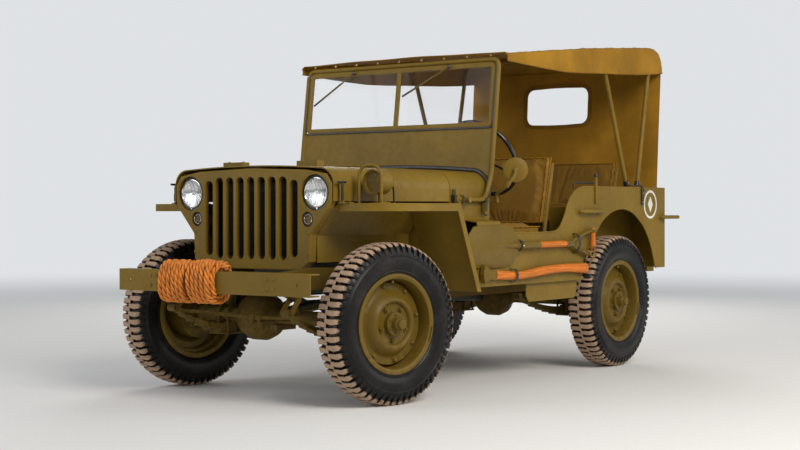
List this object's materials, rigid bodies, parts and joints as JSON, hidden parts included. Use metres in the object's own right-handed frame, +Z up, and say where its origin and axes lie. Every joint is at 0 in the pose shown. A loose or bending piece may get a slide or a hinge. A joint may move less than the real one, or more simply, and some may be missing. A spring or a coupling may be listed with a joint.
{
  "type": "army 4x4 car",
  "caption": "Open quarter-ton army 4x4 car with a canvas top, flat wheel covers, slotted grille, rolling and steering wheels, lifting hood and a rope on the bumper.",
  "frame": {"origin": "on the ground under the middle of the car, without the rope", "axes": "+Z up, the car faces -Y, +X is its left, the driver's side"},
  "size_m": [1.5467, 3.412, 1.7869],
  "materials": {
    "olive_drab": "semi-matt olive drab enamel, dusty",
    "chassis_paint": "olive drab enamel with road dirt",
    "tyre_rubber": "black rubber, sandy lugs",
    "canvas": "heavy cotton duck, khaki",
    "seat_canvas": "heavy cotton duck, khaki, padded",
    "glass": "clear",
    "rope_fibre": "orange three-strand rope",
    "tool_wood": "orange painted ash",
    "black_rim": "black, glossy",
    "engine_iron": "grey-green cast iron, oily"
  },
  "bodies": {
    "body": {"chassis_frame": "chassis_paint", "cross_members": "chassis_paint", "front_bumper": "olive_drab", "grille": "olive_drab", "lamp_housings": "olive_drab", "lamp_lenses": "glass", "radiator": "engine_iron", "powertrain": "engine_iron", "front_fenders": "olive_drab", "cowl": "olive_drab", "tub": "olive_drab", "windshield_frame": "olive_drab", "windshield_glass": "glass", "steering_column": "olive_drab", "seat_frames": "olive_drab", "seat_cushions": "seat_canvas", "canvas_top": "canvas", "top_bows": "olive_drab", "mirror": "olive_drab", "tool_heads": "olive_drab", "tool_handles": "tool_wood", "front_axle": "chassis_paint", "rear_axle": "chassis_paint", "suspension": "chassis_paint", "spare_wheel": "olive_drab", "spare_tyre": "tyre_rubber", "rear_fittings": "olive_drab", "jerrycan": "olive_drab", "bumper_rope": "rope_fibre"},
    "hood": {"hood": "olive_drab"},
    "passenger_seat": {"passenger_seat_frame": "olive_drab", "passenger_seat_cushions": "seat_canvas"},
    "knuckle_left": {"knuckle_left": "chassis_paint"},
    "knuckle_right": {"knuckle_right": "chassis_paint"},
    "wheel_front_left": {"wheel_front_left": "olive_drab", "tyre_front_left": "tyre_rubber"},
    "wheel_front_right": {"wheel_front_right": "olive_drab", "tyre_front_right": "tyre_rubber"},
    "wheel_rear_left": {"wheel_rear_left": "olive_drab", "tyre_rear_left": "tyre_rubber"},
    "wheel_rear_right": {"wheel_rear_right": "olive_drab", "tyre_rear_right": "tyre_rubber"},
    "steering_wheel": {"steering_wheel": "black_rim"},
    "pitman_arm": {"pitman_arm": "chassis_paint"},
    "drag_link": {"drag_link": "chassis_paint"},
    "bell_crank": {"bell_crank": "chassis_paint"},
    "tie_rod_left": {"tie_rod_left": "chassis_paint"},
    "tie_rod_right": {"tie_rod_right": "chassis_paint"}
  },
  "joints": [
    {"name": "steer_left", "type": "hinge", "parent": "body", "child": "knuckle_left", "pos_m": [0.505, -1.185, 0.358], "axis": [0, 0, 1], "range_deg": [-14, 36]},
    {"name": "steer_right", "type": "hinge", "parent": "body", "child": "knuckle_right", "pos_m": [-0.505, -1.185, 0.358], "axis": [0, 0, 1], "range_deg": [-14.5, 36.5]},
    {"name": "steering_wheel_turn", "type": "hinge", "parent": "body", "child": "steering_wheel", "pos_m": [0.355, -0.039, 1.123], "axis": [0.0549, 0.8687, 0.4923], "range_deg": [-169, 433]},
    {"name": "pitman_swing", "type": "hinge", "parent": "body", "child": "pitman_arm", "pos_m": [0.383, -0.945, 0.64], "axis": [1, 0, 0], "range_deg": [-14.5, 36.5]},
    {"name": "drag_link_swing", "type": "hinge", "parent": "pitman_arm", "child": "drag_link", "pos_m": [0.404, -0.97553, 0.48294], "axis": [1, 0, 0], "range_deg": [-36.5, 14.5]},
    {"name": "bell_crank_turn", "type": "hinge", "parent": "body", "child": "bell_crank", "pos_m": [0.06, -1.303, 0.35], "axis": [0, 0, 1], "range_deg": [-14.5, 36.5]},
    {"name": "tie_rod_left_swing", "type": "hinge", "parent": "bell_crank", "child": "tie_rod_left", "pos_m": [0.06066, -1.42538, 0.375], "axis": [0, 0, 1], "range_deg": [-36.5, 14.5]},
    {"name": "tie_rod_right_swing", "type": "hinge", "parent": "bell_crank", "child": "tie_rod_right", "pos_m": [0.01354, -1.41622, 0.375], "axis": [0, 0, 1], "range_deg": [-36.5, 14.5]},
    {"name": "wheel_front_left_spin", "type": "hinge", "parent": "knuckle_left", "child": "wheel_front_left", "pos_m": [0.62034, -1.20742, 0.358], "axis": [0.9816, -0.1908, 0], "continuous": true},
    {"name": "wheel_rear_left_spin", "type": "hinge", "parent": "body", "child": "wheel_rear_left", "pos_m": [0.6225, 0.847, 0.358], "axis": [1, 0, 0], "continuous": true},
    {"name": "wheel_front_right_spin", "type": "hinge", "parent": "knuckle_right", "child": "wheel_front_right", "pos_m": [-0.62034, -1.16258, 0.358], "axis": [-0.9816, 0.1908, 0], "continuous": true},
    {"name": "wheel_rear_right_spin", "type": "hinge", "parent": "body", "child": "wheel_rear_right", "pos_m": [-0.6225, 0.847, 0.358], "axis": [-1, 0, 0], "continuous": true},
    {"name": "hood_lift", "type": "hinge", "parent": "body", "child": "hood", "pos_m": [0, -0.6675, 1.074], "axis": [-1, 0, 0], "range_deg": [0, 100]},
    {"name": "passenger_seat_tip", "type": "hinge", "parent": "body", "child": "passenger_seat", "pos_m": [-0.366, -0.245, 0.55], "axis": [1, 0, 0], "range_deg": [0, 40]}
  ],
  "couplings": [
    {"joint": "steer_right", "follows": "steer_left", "ratio": 1},
    {"joint": "steering_wheel_turn", "follows": "steer_left", "ratio": 12},
    {"joint": "pitman_swing", "follows": "steer_left", "ratio": 1},
    {"joint": "drag_link_swing", "follows": "steer_left", "ratio": -1},
    {"joint": "bell_crank_turn", "follows": "steer_left", "ratio": 1},
    {"joint": "tie_rod_left_swing", "follows": "steer_left", "ratio": -1},
    {"joint": "tie_rod_right_swing", "follows": "steer_left", "ratio": -1}
  ]
}
